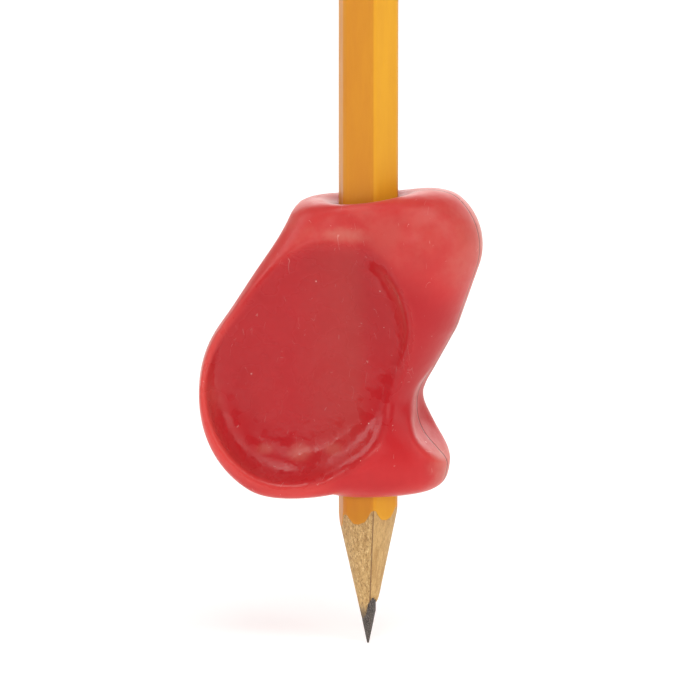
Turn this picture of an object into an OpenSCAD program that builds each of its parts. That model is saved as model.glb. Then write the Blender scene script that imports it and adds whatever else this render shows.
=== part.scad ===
// Moulded three-finger training grip pushed on to a sharpened hexagonal pencil.
// Millimetres. Z = 0 is the writing point and the pencil stands up along +Z.
// The grip is the same on both sides of the XZ plane: its ridge points to +X,
// its middle-finger channel to -X, and a finger dish faces out on either side.

/* [Pencil] */
// overall length from the writing point to the top of the eraser
pencil_length = 135; // [105:1:190]
// width over two opposite flats of the painted barrel
across_flats = 7; // [6.8:0.1:7.2]
// radius to the softened corners of the painted barrel
corner_radius = 3.85; // [3.7:0.01:3.85]
// thickness of the lacquer on the wood
lacquer_thickness = 0.15; // [0.1:0.01:0.2]
// diameter of the graphite lead
lead_diameter = 2; // [1.8:0.1:2.4]
// angle between the sharpened cone and the pencil's axis
point_angle = 11.8; // [9:0.1:15]
// radius of the worn end of the lead
worn_radius = 0.12; // [0.1:0.01:0.3]
// height of the broken end of the wood on its chipped half
chip_height = 5.5; // [4.6:0.1:7]

/* [Ferrule and eraser] */
// length of the metal ferrule
ferrule_length = 14; // [12:0.5:18]
// outside diameter of the ferrule's plain bands
ferrule_diameter = 7.5; // [7.3:0.05:7.6]
// thickness of the ferrule's metal
ferrule_wall = 0.3; // [0.25:0.01:0.35]
// length of eraser standing out of the ferrule
eraser_exposed = 8; // [5:0.5:10]
// diameter of the rubbed end of the eraser
eraser_diameter = 6.4; // [6.2:0.1:6.5]
// punched dents in each ring round the ferrule
dents_per_ring = 8; // [6:1:10]

/* [Grip] */
// distance the grip has been slid up from its fitted height
grip_lift = 0; // [0:1:40]
// diameter of the hole through the grip
bore_diameter = 7.9; // [7.8:0.05:8.1]
// height of the grip's lower face above the writing point
grip_bottom = 20; // [20:0.1:20.5]
// height of the grip's upper face before it dips round the hole
grip_top = 58.2; // [57.7:0.1:58.4]
// depth of material left between a dish and the pencil's axis
dish_floor = 4.7; // [4.6:0.05:5.2]
// radius of the ridge's rounded upper lobe
lobe_radius = 7.8; // [7.6:0.05:7.9]
// width of the grip across the pencil, as a share of the width in the photograph
grip_width = 1; // [0.95:0.05:1.15]

/* [Hidden] */
$fn = 96;

shoulder = pencil_length - eraser_exposed - ferrule_length;
eraser_base = pencil_length - 2 * eraser_exposed;
tenon_radius = ferrule_diameter / 2 - ferrule_wall;
// turn of the glue line between the two slats
glue_turn = -60;
// the lacquer starts below the lowest of the sharpener's scallops
lacquer_start = 10;

// a dish's plane is turned out from the pencil's side and its oval leans back
dish_turn = 20;
turn_cos = cos(dish_turn);
turn_sin = sin(dish_turn);
dish_lean = 16;
dish_centre = [-7.8, 38];
dish_radii = [12.6, 1, 16.1];
// places along a dish's plane and up, with the radius of the form there
pad_low = [-8, 34.6];
pad_low_radius = 12.7;
pad_high = [-4, 53.4];
pad_high_radius = 6.1;
pad_end = [-8.6, 32.6];
pad_end_radius = 13.2;
pad_face = 6.4;
pad_back = 4;
// places in the XZ plane, with the radius of the form there
core_radius = 6.4;
lobe_centre = [6.9, 51.9];
ridge_bend = [4.6, 44.5];
ridge_bend_radius = 7.5;
ridge_foot = [0.3, 34.5];
ridge_foot_radius = 6.4;
foot_centre = [3, 0, 24.6];
foot_radii = [7.6, 7, 7.4];
notch_inner = [12.5, 31.3];
notch_outer = [20, 23.8];
notch_radius = 6;
channel_depth = 5.9;
channel_half_width = 4.2;

function near_min(a, b, blend) =
    let (h = max(blend - abs(a - b), 0) / blend)
    min(a, b) - h * h * blend / 4;
function near_max(a, b, blend) = -near_min(-a, -b, blend);
// zero below the start and straight above it, with a soft corner
function soft_ramp(t) = (t + sqrt(t * t + 4)) / 2;

// distance to two balls joined by a straight-sided taper
function taper_distance(p, q, a, radius_a, b, radius_b) =
    let (span = norm(b - a))
    let (along = (b - a) / span)
    let (rel = p - a)
    let (t = rel * along)
    let (side = norm([rel[0] * along[1] - rel[1] * along[0], q]))
    let (s = (radius_a - radius_b) / span)
    let (c = sqrt(1 - s * s))
    let (place = t * c - side * s)
    place < 0 ? norm([t, side]) - radius_a
    : place > span * c ? norm([t - span, side]) - radius_b
    : t * s + side * c - radius_a;

// close to the distance to an ellipsoid
function oval_distance(p, radii) =
    let (k0 = norm([p[0] / radii[0], p[1] / radii[1], p[2] / radii[2]]))
    let (k1 = norm([p[0] / pow(radii[0], 2), p[1] / pow(radii[1], 2), p[2] / pow(radii[2], 2)]))
    k0 * (k0 - 1) / max(k1, 0.000001);

// the pad that carries one finger dish, before the dish is cut
function pad_field(u, w, z) =
    let (high = soft_ramp(z - 44))
    let (face = pad_face + 0.06 * (4 - u) - 0.012 * high * high + 0.045 * soft_ramp(37 - z)
        - 0.35 * soft_ramp(u - 1.5))
    let (taper = taper_distance([u, z], 0, pad_low, pad_low_radius, pad_high, pad_high_radius))
    let (flank = near_max(taper, w - face, 5.5))
    let (from_end = [1.055 * (u - pad_end[0]), z - pad_end[1]])
    let (round_end = near_max(norm(from_end) - pad_end_radius, w - face, 2.6))
    near_max(near_min(flank, round_end, 1.5), -pad_back - w, 2);

// the hollow of a dish, whose floor rises towards its top and its outer edge
function dish_field(u, w, z) =
    let (du = u - dish_centre[0])
    let (dz = z - dish_centre[1])
    let (across = du * cos(dish_lean) - dz * sin(dish_lean))
    let (up = du * sin(dish_lean) + dz * cos(dish_lean))
    let (rim = oval_distance([across, 0, up], dish_radii))
    let (high = soft_ramp(z - 36))
    let (out = soft_ramp(-u - 7))
    let (pan = dish_floor + 0.004 * high * high + 0.016 * out * high - 0.11 * soft_ramp(-u - 3))
    near_max(rim, pan - w, 5.5);

// the ridge bends where its two tapers meet
function ridge_field(x, y, z) =
    min(taper_distance([x, z], y, lobe_centre, lobe_radius, ridge_bend, ridge_bend_radius),
        taper_distance([x, z], y, ridge_bend, ridge_bend_radius, ridge_foot, ridge_foot_radius));

// the middle finger's channel widens outwards and runs out higher up
function channel_field(x, y, z) =
    let (high = soft_ramp(z - 42))
    let (side = abs(y) - channel_half_width + 0.27 * (x + 6))
    near_max(side, x + channel_depth + 0.02 * high * high, 5);

// negative inside the grip, positive outside it
function grip_field(p) =
    let (x = p[0])
    let (y = p[1])
    let (z = p[2])
    let (fold = sqrt(y * y + 0.36))
    let (u = x * turn_cos - fold * turn_sin)
    let (w = x * turn_sin + fold * turn_cos)
    let (core = norm([x, y]) - core_radius)
    let (foot = oval_distance(p - foot_centre, foot_radii))
    let (pads = near_min(pad_field(u, w, z), core, 1.6))
    let (ridged = near_min(pads, ridge_field(x, y, z), 1.2 + 0.15 * soft_ramp(z - 42)))
    let (whole = near_min(ridged, foot, 2.5))
    let (dished = near_max(whole, -dish_field(u, w, z), 1))
    let (grooved = near_max(dished, -channel_field(x, y, z), 2.2))
    let (fan = 0.12 * y * soft_ramp(z - 24.5))
    let (notch = taper_distance([x, z], fan, notch_inner, notch_radius, notch_outer, notch_radius))
    let (notched = near_max(grooved, -notch, 0.6))
    let (dip = 0.2 * soft_ramp(6.5 - norm([x, y])))
    let (topped = near_max(notched, z - grip_top - 0.11 * x + dip, 1.8))
    near_max(topped, grip_bottom + 0.05 * x - z, 2);

// moves a point near the surface on to it
function settle(p) =
    let (d = 0.02)
    let (here = grip_field(p))
    let (slope = [grip_field(p + [d, 0, 0]) - here, grip_field(p + [0, d, 0]) - here,
        grip_field(p + [0, 0, d]) - here] / d)
    let (pull = slope / max(slope * slope, 0.3))
    let (nearer = p - here * pull)
    nearer - grip_field(nearer) * pull;

// corners of a unit box, its edges, and the corners beside and across from one corner
box_corners = [for (i = [0, 1]) for (j = [0, 1]) for (k = [0, 1]) [i, j, k]];
box_edges = [for (a = [0 : 7]) for (b = [a + 1 : 7])
    if (norm(box_corners[a] - box_corners[b]) < 1.1) [a, b]];
face_sides = [for (s = [-1, 1]) for (t = [-1, 1])
    for (pair = [[[s, 0, 0], [0, t, 0]], [[0, s, 0], [0, 0, t]], [[s, 0, 0], [0, 0, t]]]) pair];

// where the surface cuts the edges of a box, given its value at the corners
function edge_crossings(values) =
    [for (e = box_edges) if ((values[e[0]] < 0) != (values[e[1]] < 0))
        let (t = values[e[0]] / (values[e[0]] - values[e[1]]))
        box_corners[e[0]] * (1 - t) + box_corners[e[1]] * t];
function mean(points) = [for (p = points) 1] * points / len(points);

// two triangles across a grid edge that has one end inside the grip
function edge_faces(starts_inside, n) =
    starts_inside ? [[n[0], n[3], n[2]], [n[0], n[2], n[1]]]
    : [[n[0], n[1], n[2]], [n[0], n[2], n[3]]];

// the sculpted surface: one point in every grid box that it crosses
module sculpted_solid() {
    cell = 1.05;
    nx = 36;
    ny = 30;
    nz = 40;
    corner = [-22.1, -ny / 2 * cell, 17.95];
    // only half the grid is worked out, the other half mirrors it
    half_field = [for (i = [0 : nx]) [for (j = [0 : ny / 2]) [for (k = [0 : nz])
        grip_field(corner + cell * [i, j, k])]]];
    function raw(n) = half_field[n[0]][min(n[1], ny - n[1])][n[2]];
    // two corners outside that touch only across a face are closed up
    function is_pinched(n, sides) =
        raw(n + sides[0]) < 0 && raw(n + sides[1]) < 0 && raw(n + sides[0] + sides[1]) >= raw(n);
    closed_field = [for (i = [0 : nx]) [for (j = [0 : ny]) [for (k = [0 : nz])
        let (value = raw([i, j, k]))
        value < 0 || value > cell || min(i, j, k, nx - i, ny - j, nz - k) == 0 ? value
        : len([for (sides = face_sides) if (is_pinched([i, j, k], sides)) 1]) > 0 ? -0.01
        : value]]];
    function corner_values(i, j, k) =
        [for (c = box_corners) closed_field[i + c[0]][j + c[1]][k + c[2]]];
    flags = [for (i = [0 : nx - 1]) for (j = [0 : ny - 1]) for (k = [0 : nz - 1])
        let (values = corner_values(i, j, k))
        min(values) < 0 && max(values) >= 0 ? 1 : 0];
    numbers = [for (c = 0, total = 0; c < len(flags); total = total + flags[c], c = c + 1) total];
    function number(i, j, k) = numbers[(i * ny + j) * nz + k];
    points = [for (i = [0 : nx - 1]) for (j = [0 : ny - 1]) for (k = [0 : nz - 1])
        if (flags[(i * ny + j) * nz + k] == 1)
            let (inside = mean(edge_crossings(corner_values(i, j, k))))
            settle(corner + cell * ([i, j, k] + inside))];
    faces = [for (i = [1 : nx - 1]) for (j = [1 : ny - 1]) for (k = [1 : nz - 1])
        let (here = closed_field[i][j][k] < 0)
        for (face = concat(
            here == (closed_field[i + 1][j][k] < 0) ? []
                : edge_faces(here, [number(i, j - 1, k - 1), number(i, j, k - 1),
                    number(i, j, k), number(i, j - 1, k)]),
            here == (closed_field[i][j + 1][k] < 0) ? []
                : edge_faces(here, [number(i - 1, j, k - 1), number(i - 1, j, k),
                    number(i, j, k), number(i, j, k - 1)]),
            here == (closed_field[i][j][k + 1] < 0) ? []
                : edge_faces(here, [number(i - 1, j - 1, k), number(i, j - 1, k),
                    number(i, j, k), number(i - 1, j, k)]))) face];
    polyhedron([for (p = points) [p[0] * grip_width, p[1] * grip_width, p[2]]], faces);
}

module grip() {
    color([0.80, 0.12, 0.12])
    translate([0, 0, grip_lift])
    difference() {
        sculpted_solid();
        translate([0, 0, grip_bottom - 5])
        cylinder(d = bore_diameter, h = grip_top - grip_bottom + 10);
    }
}

// hexagonal bar with softened corners
module barrel(flats, corner, low, high) {
    intersection() {
        translate([0, 0, low])
        cylinder(r = flats / sqrt(3), h = high - low, $fn = 6);
        translate([0, 0, low])
        cylinder(r = corner, h = high - low);
    }
}

// everything the sharpener leaves
module sharpened_cone() {
    cone_height = 40;
    cone_top = worn_radius + cone_height * tan(point_angle);
    cylinder(r1 = worn_radius, r2 = cone_top, h = cone_height);
    translate([0, 0, cone_height])
    cylinder(r = across_flats, h = pencil_length);
}

module wood_blank() {
    difference() {
        intersection() {
            union() {
                barrel(across_flats - 2 * lacquer_thickness, corner_radius - lacquer_thickness,
                    0, shoulder);
                translate([0, 0, shoulder])
                cylinder(r = tenon_radius, h = eraser_base - shoulder);
            }
            sharpened_cone();
        }
        translate([0, 0, -1])
        cylinder(d = lead_diameter, h = pencil_length);
    }
}

// one grooved slat: everything on one side of the glue line
module slat(turn, low) {
    intersection() {
        wood_blank();
        rotate([0, 0, turn])
        translate([-across_flats, 0, low])
        cube([2 * across_flats, across_flats, pencil_length]);
    }
}

module case_left_half() {
    color([0.83, 0.66, 0.44])
    slat(glue_turn + 180, 0);
}

module case_right_half() {
    color([0.80, 0.62, 0.40])
    slat(glue_turn, chip_height);
}

module lead() {
    color([0.23, 0.22, 0.23])
    intersection() {
        cylinder(d = lead_diameter, h = eraser_base);
        sharpened_cone();
    }
}

module lacquer() {
    color([0.95, 0.66, 0.17])
    intersection() {
        difference() {
            barrel(across_flats, corner_radius, lacquer_start, shoulder);
            barrel(across_flats - 2 * lacquer_thickness, corner_radius - lacquer_thickness,
                lacquer_start - 1, shoulder + 1);
        }
        sharpened_cone();
    }
}

// raised rings and punched dents, placed by their share of the length, hold the ferrule on
module ferrule() {
    bead_radius = 0.35;
    bead_height = 0.09;
    bead_places = [0.36, 0.44, 0.56, 0.64];
    dent_radius = 0.6;
    dent_depth = 0.15;
    dent_places = [0.2, 0.8];
    color([0.80, 0.80, 0.76])
    translate([0, 0, shoulder])
    difference() {
        rotate_extrude()
        union() {
            translate([tenon_radius, 0])
            square([ferrule_wall, ferrule_length]);
            for (bead = bead_places)
                translate([ferrule_diameter / 2 - bead_radius + bead_height, bead * ferrule_length])
                circle(r = bead_radius);
        }
        translate([0, 0, -1])
        cylinder(r = tenon_radius, h = ferrule_length + 2);
        for (ring = dent_places)
            for (dent = [0 : dents_per_ring - 1])
                rotate([0, 0, dent * 360 / dents_per_ring])
                translate([ferrule_diameter / 2 + dent_radius - dent_depth, 0, ring * ferrule_length])
                sphere(r = dent_radius);
    }
}

// the plug fills the ferrule and its open end is rubbed thinner
module eraser() {
    edge_radius = 0.9;
    length = pencil_length - eraser_base;
    color([0.86, 0.48, 0.46])
    translate([0, 0, eraser_base])
    rotate_extrude()
    union() {
        square([tenon_radius - 0.05, length - eraser_exposed]);
        square([eraser_diameter / 2 - edge_radius, length]);
        square([eraser_diameter / 2, length - edge_radius]);
        translate([eraser_diameter / 2 - edge_radius, length - edge_radius])
        intersection() {
            circle(r = edge_radius);
            square([edge_radius, edge_radius]);
        }
    }
}

grip();
case_left_half();
case_right_half();
lead();
lacquer();
ferrule();
eraser();
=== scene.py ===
import math
import bpy
import numpy as np
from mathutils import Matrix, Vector


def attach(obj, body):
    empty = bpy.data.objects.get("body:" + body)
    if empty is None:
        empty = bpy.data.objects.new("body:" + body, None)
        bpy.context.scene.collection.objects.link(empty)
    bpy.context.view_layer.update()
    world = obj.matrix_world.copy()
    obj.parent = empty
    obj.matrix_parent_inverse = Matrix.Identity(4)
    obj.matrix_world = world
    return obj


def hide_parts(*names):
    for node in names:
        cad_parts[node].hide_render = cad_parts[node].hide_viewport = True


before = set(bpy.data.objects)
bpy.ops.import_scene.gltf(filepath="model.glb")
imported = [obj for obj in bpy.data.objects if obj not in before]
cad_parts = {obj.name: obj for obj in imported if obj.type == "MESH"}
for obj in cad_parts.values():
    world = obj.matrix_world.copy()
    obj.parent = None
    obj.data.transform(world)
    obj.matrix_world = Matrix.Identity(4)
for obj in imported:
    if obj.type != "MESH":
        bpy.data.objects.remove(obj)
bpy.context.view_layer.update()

print("frame loaded")

mm = 0.001  # sizes below are in millimetres, meshes are in metres


# small helpers for meshes

def makeObject(name, points, faces, material):
    mesh = bpy.data.meshes.new(name)
    mesh.from_pydata((np.asarray(points) * mm).tolist(), [], [list(f) for f in faces])
    mesh.validate()
    mesh.update()
    mesh.polygons.foreach_set("use_smooth", [True] * len(mesh.polygons))
    piece = bpy.data.objects.new(name, mesh)
    bpy.context.scene.collection.objects.link(piece)
    mesh.materials.append(material)
    return piece


def gridFaces(rows, columns, wrap, start=0):  # quads of a grid of points, row after row
    faces = []
    last = columns if wrap else columns - 1
    for r in range(rows - 1):
        here, above = start + r * columns, start + (r + 1) * columns
        for c in range(last):
            n = (c + 1) % columns
            faces.append((here + c, here + n, above + n, above + c))
    return faces


def ringPoints(rows, angle):  # a ring of points for each reach from the axis and height
    points = []
    for reach, height in rows:
        ring = np.broadcast_arrays(reach * np.cos(angle), reach * np.sin(angle), height)
        points += np.stack(ring, 1).tolist()
    return points


def fullTurn(around):
    return np.arange(around) * 2 * math.pi / around


def makeTube(name, rows, around, material):  # rings that lead back to the first, open along the axis
    faces = gridFaces(len(rows), around, True)
    last = (len(rows) - 1) * around
    faces += [(last + c, last + (c + 1) % around, (c + 1) % around, c) for c in range(around)]
    return makeObject(name, ringPoints(rows, fullTurn(around)), faces, material)


def makeRod(name, rows, low, high, around, material):  # rings between a lowest and a highest point
    points = [(0, 0, low)] + ringPoints(rows, fullTurn(around)) + [(0, 0, high)]
    base = 1 + (len(rows) - 1) * around
    faces = [(0, 1 + (c + 1) % around, 1 + c) for c in range(around)]
    faces += gridFaces(len(rows), around, True, start=1)
    faces += [(base + c, base + (c + 1) % around, base + around) for c in range(around)]
    return makeObject(name, points, faces, material)


# small helpers for node trees

def fillInputs(node, values):
    for name, value in values.items():
        socket = node.inputs[name]
        if isinstance(value, bpy.types.NodeSocket):
            node.id_data.links.new(value, socket)
        else:
            socket.default_value = value


def addNode(tree, kind, values=None, **settings):
    node = tree.nodes.new(kind)
    for name, value in settings.items():
        setattr(node, name, value)
    fillInputs(node, values or {})
    return node


def mathNode(tree, operation, *values, clamp=False):
    node = addNode(tree, "ShaderNodeMath", dict(enumerate(values)), operation=operation, use_clamp=clamp)
    return node.outputs[0]


def times(tree, first, second):
    return mathNode(tree, "MULTIPLY", first, second)


def plus(tree, first, second, clamp=False):
    return mathNode(tree, "ADD", first, second, clamp=clamp)


def minus(tree, first, second, clamp=False):
    return mathNode(tree, "SUBTRACT", first, second, clamp=clamp)


def weighted(tree, *pairs):  # the sum of values, each times its weight
    total = None
    for value, weight in pairs:
        part = times(tree, value, weight)
        total = part if total is None else plus(tree, total, part)
    return total


def reachAlong(tree, x, y, degrees):  # how far a place lies in one direction across the pencil
    turn = math.radians(degrees)
    return weighted(tree, (x, math.cos(turn)), (y, math.sin(turn)))


def vectorNode(tree, operation, *values):
    node = addNode(tree, "ShaderNodeVectorMath", dict(enumerate(values)), operation=operation)
    return node.outputs["Value" if operation == "LENGTH" else "Vector"]


def splitPlace(tree, place):
    return addNode(tree, "ShaderNodeSeparateXYZ", {0: place}).outputs


def attribute(tree, name):
    return addNode(tree, "ShaderNodeAttribute", attribute_name=name).outputs["Fac"]


def ramp(tree, value, low, high, outLow=0.0, outHigh=1.0, kind="SMOOTHSTEP"):
    node = addNode(tree, "ShaderNodeMapRange",
                   {"Value": value, "From Min": low, "From Max": high, "To Min": outLow, "To Max": outHigh},
                   interpolation_type=kind)
    return node.outputs["Result"]


def mixColour(tree, factor, first, second):
    node = addNode(tree, "ShaderNodeMix", data_type="RGBA", blend_type="MIX")
    fillInputs(node, {0: factor, 6: first, 7: second})
    return node.outputs[2]


# the same place, stretched, moved or turned
def mapped(tree, place, scale=(1, 1, 1), shift=(0, 0, 0), turn=(0, 0, 0)):
    node = addNode(tree, "ShaderNodeMapping",
                   {"Vector": place, "Location": shift, "Rotation": turn, "Scale": scale})
    return node.outputs["Vector"]


def noise(tree, place, scale, detail=3.0, rough=0.55, distortion=0.0):
    node = addNode(tree, "ShaderNodeTexNoise", {"Vector": place, "Scale": scale, "Detail": detail,
                                                "Roughness": rough, "Distortion": distortion})
    return node.outputs["Fac"]


def newMaterial(name):
    material = bpy.data.materials.new(name)
    material.use_nodes = True
    tree = material.node_tree
    tree.nodes.clear()
    output = addNode(tree, "ShaderNodeOutputMaterial")
    shader = addNode(tree, "ShaderNodeBsdfPrincipled")
    tree.links.new(shader.outputs[0], output.inputs[0])
    place = addNode(tree, "ShaderNodeTexCoord").outputs["Object"]
    inMm = addNode(tree, "ShaderNodeVectorMath", {0: place, "Scale": 1 / mm}, operation="SCALE")
    return material, tree, shader, inMm.outputs[0]


def addBump(tree, shader, height, strength=1.0):  # the height is in millimetres
    bump = addNode(tree, "ShaderNodeBump", {"Height": height, "Distance": mm, "Strength": strength})
    tree.links.new(bump.outputs[0], shader.inputs["Normal"])


def newGroup(name, inputs, outputs):
    tree = bpy.data.node_groups.new(name, "ShaderNodeTree")
    for label, kind, value in inputs:
        socket = tree.interface.new_socket(name=label, in_out="INPUT", socket_type=kind)
        if value is not None:
            socket.default_value = value
    for label, kind in outputs:
        tree.interface.new_socket(name=label, in_out="OUTPUT", socket_type=kind)
    return tree, addNode(tree, "NodeGroupInput").outputs, addNode(tree, "NodeGroupOutput")


def useGroup(tree, group, output, values):
    node = addNode(tree, "ShaderNodeGroup", node_tree=group)
    fillInputs(node, values)
    return node.outputs[output]


# effects that several finishes share

scratchShape = {
    # turn and shift of each crossing set
    "sets": (((0.3, 0.9, 0.4), 0.0), ((1.2, 0.2, 2.1), 7.3), ((2.2, 1.4, 0.9), 13.1)),
    "stretch": (1.0, 0.06, 0.3),
    "level": 0.52,  # a scratch runs where the noise passes this
    "widthScale": 0.12,
    "broken": 0.6,  # it shows only where a second noise is above this
}


def buildDustGroup():  # scattered pale specks
    tree, given, made = newGroup(
        "dustSpecks",
        [("Place", "NodeSocketVector", None), ("Spacing", "NodeSocketFloat", 1.4),
         ("Size", "NodeSocketFloat", 0.07), ("Share", "NodeSocketFloat", 0.4)],
        [("Mask", "NodeSocketFloat")])
    scale = mathNode(tree, "DIVIDE", 1.0, given["Spacing"])
    cells = addNode(tree, "ShaderNodeTexVoronoi", {"Vector": given["Place"], "Scale": scale})
    reach = times(tree, cells.outputs["Distance"], given["Spacing"])
    pick = addNode(tree, "ShaderNodeSeparateColor", {0: cells.outputs["Color"]})
    chosen = mathNode(tree, "LESS_THAN", pick.outputs[0], given["Share"])
    size = times(tree, given["Size"], ramp(tree, pick.outputs[1], 0.0, 1.0, 0.35, 1.3, "LINEAR"))
    speck = mathNode(tree, "LESS_THAN", reach, size)
    tree.links.new(times(tree, speck, chosen), made.inputs["Mask"])
    return tree


def buildScratchGroup():  # short fine scratches that cross each other
    tree, given, made = newGroup(
        "fineScratches",
        [("Place", "NodeSocketVector", None), ("Scale", "NodeSocketFloat", 1.0),
         ("Width", "NodeSocketFloat", 0.02)],
        [("Mask", "NodeSocketFloat")])
    total = None
    for turn, shift in scratchShape["sets"]:
        turned = mapped(tree, given["Place"], scratchShape["stretch"], (shift, shift, shift), turn)
        lines = noise(tree, turned, given["Scale"], 1.0, 0.4, 0.3)
        off = mathNode(tree, "ABSOLUTE", minus(tree, lines, scratchShape["level"]))
        line = mathNode(tree, "LESS_THAN", off, times(tree, given["Width"], scratchShape["widthScale"]))
        gate = noise(tree, turned, 0.9, 2.0, 0.5)
        line = times(tree, line, mathNode(tree, "GREATER_THAN", gate, scratchShape["broken"]))
        total = line if total is None else mathNode(tree, "MAXIMUM", total, line)
    tree.links.new(total, made.inputs["Mask"])
    return tree


def buildMottleGroup():  # slow uneven change between two colours
    tree, given, made = newGroup(
        "softMottle",
        [("Place", "NodeSocketVector", None), ("Scale", "NodeSocketFloat", 0.2),
         ("First", "NodeSocketColor", (1, 1, 1, 1)), ("Second", "NodeSocketColor", (0.5, 0.5, 0.5, 1))],
        [("Color", "NodeSocketColor"), ("Fac", "NodeSocketFloat")])
    share = ramp(tree, noise(tree, given["Place"], given["Scale"], 4.0, 0.6), 0.3, 0.7)
    tree.links.new(mixColour(tree, share, given["First"], given["Second"]), made.inputs["Color"])
    tree.links.new(share, made.inputs["Fac"])
    return tree


dustGroup = buildDustGroup()
scratchGroup = buildScratchGroup()
mottleGroup = buildMottleGroup()


# the grip's soft red plastic

gripLook = {
    "red": (0.58, 0.017, 0.021, 1),
    "deepRed": (0.53, 0.014, 0.018, 1),
    "dishShadeRed": (0.40, 0.008, 0.014, 1),
    "pencilTintAndReflection": (0.43, 0.027, 0.026, 1),
    "sideShadeRed": (0.45, 0.006, 0.012, 1),
    "paleSheen": (0.63, 0.265, 0.200, 1),
    "edge": (0.80, 0.095, 0.080, 1),
    "hollow": (0.36, 0.007, 0.011, 1),
    "dust": (0.95, 0.70, 0.66, 1),
    "seam": (0.16, 0.005, 0.006, 1),
    # how strongly a colour lies over those before it
    "dishShadeShare": 0.65,
    "pencilTintAndReflectionShare": 0.85,
    "sideShadeShare": 0.85,
    "tornShare": 0.80,
    "seamShare": 0.85,
    "dustShare": 0.45,
    "scratchShare": 0.18,
    # ramps: from, to and the values there, if not 0 and 1
    "sheenRise": (43.0, 53.0),
    "sheenPatches": (0.35, 0.65, 0.08, 0.20),
    "sideFront": (-0.5, 2.5),
    "sideUnder": (57.8, 51.8),
    "sideAbove": (25.0, 31.0),
    "edgeBend": (0.32, 1.10),
    "edgeReach": (-16.0, -8.0, 0.55, 0.42),
    "hollowBend": (-0.45, -0.12, 0.55, 0.0),
    "hollowReach": (-5.0, 0.0, 1.0, 0.0),
    "wallBend": (-0.42, -0.16, 1.0, 0.0),
    "wallReach": (-1.0, 2.0, 0.0, 0.30),
    "lipReach": (4.2, 6.4, 0.8, 0.0),
    "lipRise": (54.0, 56.5),
    "tearWidth": (0.07, 0.20, 1.0, 0.0),
    "tearStart": (3.2, 3.6),
    "tearEnd": (4.6, 5.2, 1.0, 0.0),
    "tearRise": (52.0, 54.0),
    "seamWidth": (0.08, 0.19, 1.0, 0.0),
    "seamReach": (4.5, 6.0),
    "swell": (22.5, 31.5, 0.45, 0.0),
    "gloss": (0.3, 0.7, 0.32, 0.44),
    "polish": (0.44, 0.56, 0.02, 0.25),
    "tearTurn": 200.0,  # direction of the tear from the hole, in degrees
    # painted highlights and sheen, the same on both sides: place, reach and strength
    "rubbed": (((-0.3, 8.2, 53.7), (4.2, 4.0, 1.5), 0.42),  # over each dish
               ((13.5, 2.0, 52.0), (4.0, 5.0, 6.0), 0.18),  # the lobe's round
               ((10.5, 0.0, 24.5), (3.2, 5.0, 5.0), 0.34),  # the foot
               ((-6.6, 6.9, 25.7), (2.1, 2.5, 1.8), 0.24),  # low in each dish
               ((-10.9, 8.2, 26.1), (1.5, 2.0, 1.0), 0.20),
               ((-2.3, 6.2, 26.3), (1.7, 2.0, 1.2), 0.20),
               ((-18.0, 10.0, 32.0), (2.6, 4.0, 7.0), 0.16)),  # the rim beside each dish
}


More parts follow.
